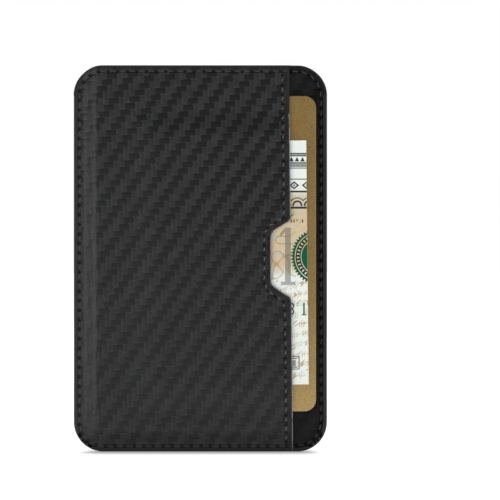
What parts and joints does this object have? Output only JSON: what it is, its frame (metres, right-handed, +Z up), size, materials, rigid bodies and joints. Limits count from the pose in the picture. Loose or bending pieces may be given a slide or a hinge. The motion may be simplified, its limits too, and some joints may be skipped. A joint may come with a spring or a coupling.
{
  "type": "minimalist wallet",
  "caption": "Slim upright card wallet in black woven-look leather, with a side-mouth front pocket holding a gold card and a folded note, a back pocket and a pull tab.",
  "frame": {"origin": "centre of the bounding box in X and Y, at the underside of the bottom edge, on which the wallet stands", "axes": "+Z up the wallet's long side, +X towards the front pocket's mouth, -Y the way the front faces"},
  "size_m": [0.069, 0.0108, 0.105],
  "materials": {
    "woven_leather": "embossed twill, satin",
    "lining": "fine black cloth",
    "foil": "thin shielding foil",
    "edge_paint": "painted and burnished leather edge",
    "thread": "dark grey sewing thread",
    "ribbon": "black woven ribbon",
    "gold_card": "metallic gold plastic card",
    "note_paper": "printed paper",
    "silver_plastic": "plain plastic card",
    "blue_plastic": "plain plastic card"
  },
  "bodies": {
    "wallet": {"front_pocket_outer": "woven_leather", "front_wall_outer": "woven_leather", "back_wall_outer": "woven_leather", "back_pocket_outer": "woven_leather", "front_pocket_lining": "lining", "front_wall_lining": "lining", "back_wall_lining": "lining", "front_wall_foil": "foil", "back_wall_foil": "foil", "body_edge_coat": "edge_paint", "front_lip_edge_coat": "edge_paint", "back_lip_edge_coat": "edge_paint", "front_mouth_edge_coat": "edge_paint", "back_mouth_edge_coat": "edge_paint", "front_seam_thread": "thread", "back_seam_thread": "thread", "back_lip_thread": "thread", "front_mouth_thread": "thread", "back_mouth_thread": "thread", "strap_anchor_thread": "thread", "pull_strap": "ribbon"},
    "gold_card": {"gold_card": "gold_card"},
    "folded_note": {"folded_note": "note_paper"},
    "stored_cards": {"stored_card_1": "silver_plastic", "stored_card_2": "blue_plastic"},
    "strap_end": {"strap_end": "ribbon"},
    "pull_tab": {"pull_tab_leather": "woven_leather", "pull_tab_ribbon": "ribbon", "pull_tab_thread": "thread"}
  },
  "joints": [
    {"name": "gold_card_slide", "type": "slide", "parent": "wallet", "child": "gold_card", "axis": [1, 0, 0], "range_m": [-0.005, 0.05]},
    {"name": "folded_note_slide", "type": "slide", "parent": "wallet", "child": "folded_note", "axis": [1, 0, 0], "range_m": [0, 0.036]},
    {"name": "strap_pull", "type": "slide", "parent": "wallet", "child": "strap_end", "axis": [0, 0, 1], "range_m": [0, 0.05]},
    {"name": "stored_cards_lift", "type": "slide", "parent": "wallet", "child": "stored_cards", "axis": [0, 0, 1], "range_m": [0, 0.025], "deforming": ["pull_strap"]},
    {"name": "pull_tab_flip", "type": "hinge", "parent": "strap_end", "child": "pull_tab", "pos_m": [0, 0.00191, 0.0915], "axis": [-1, 0, 0], "range_deg": [-11, 75]}
  ],
  "couplings": [
    {"joint": "stored_cards_lift", "follows": "strap_pull", "ratio": 0.5}
  ]
}
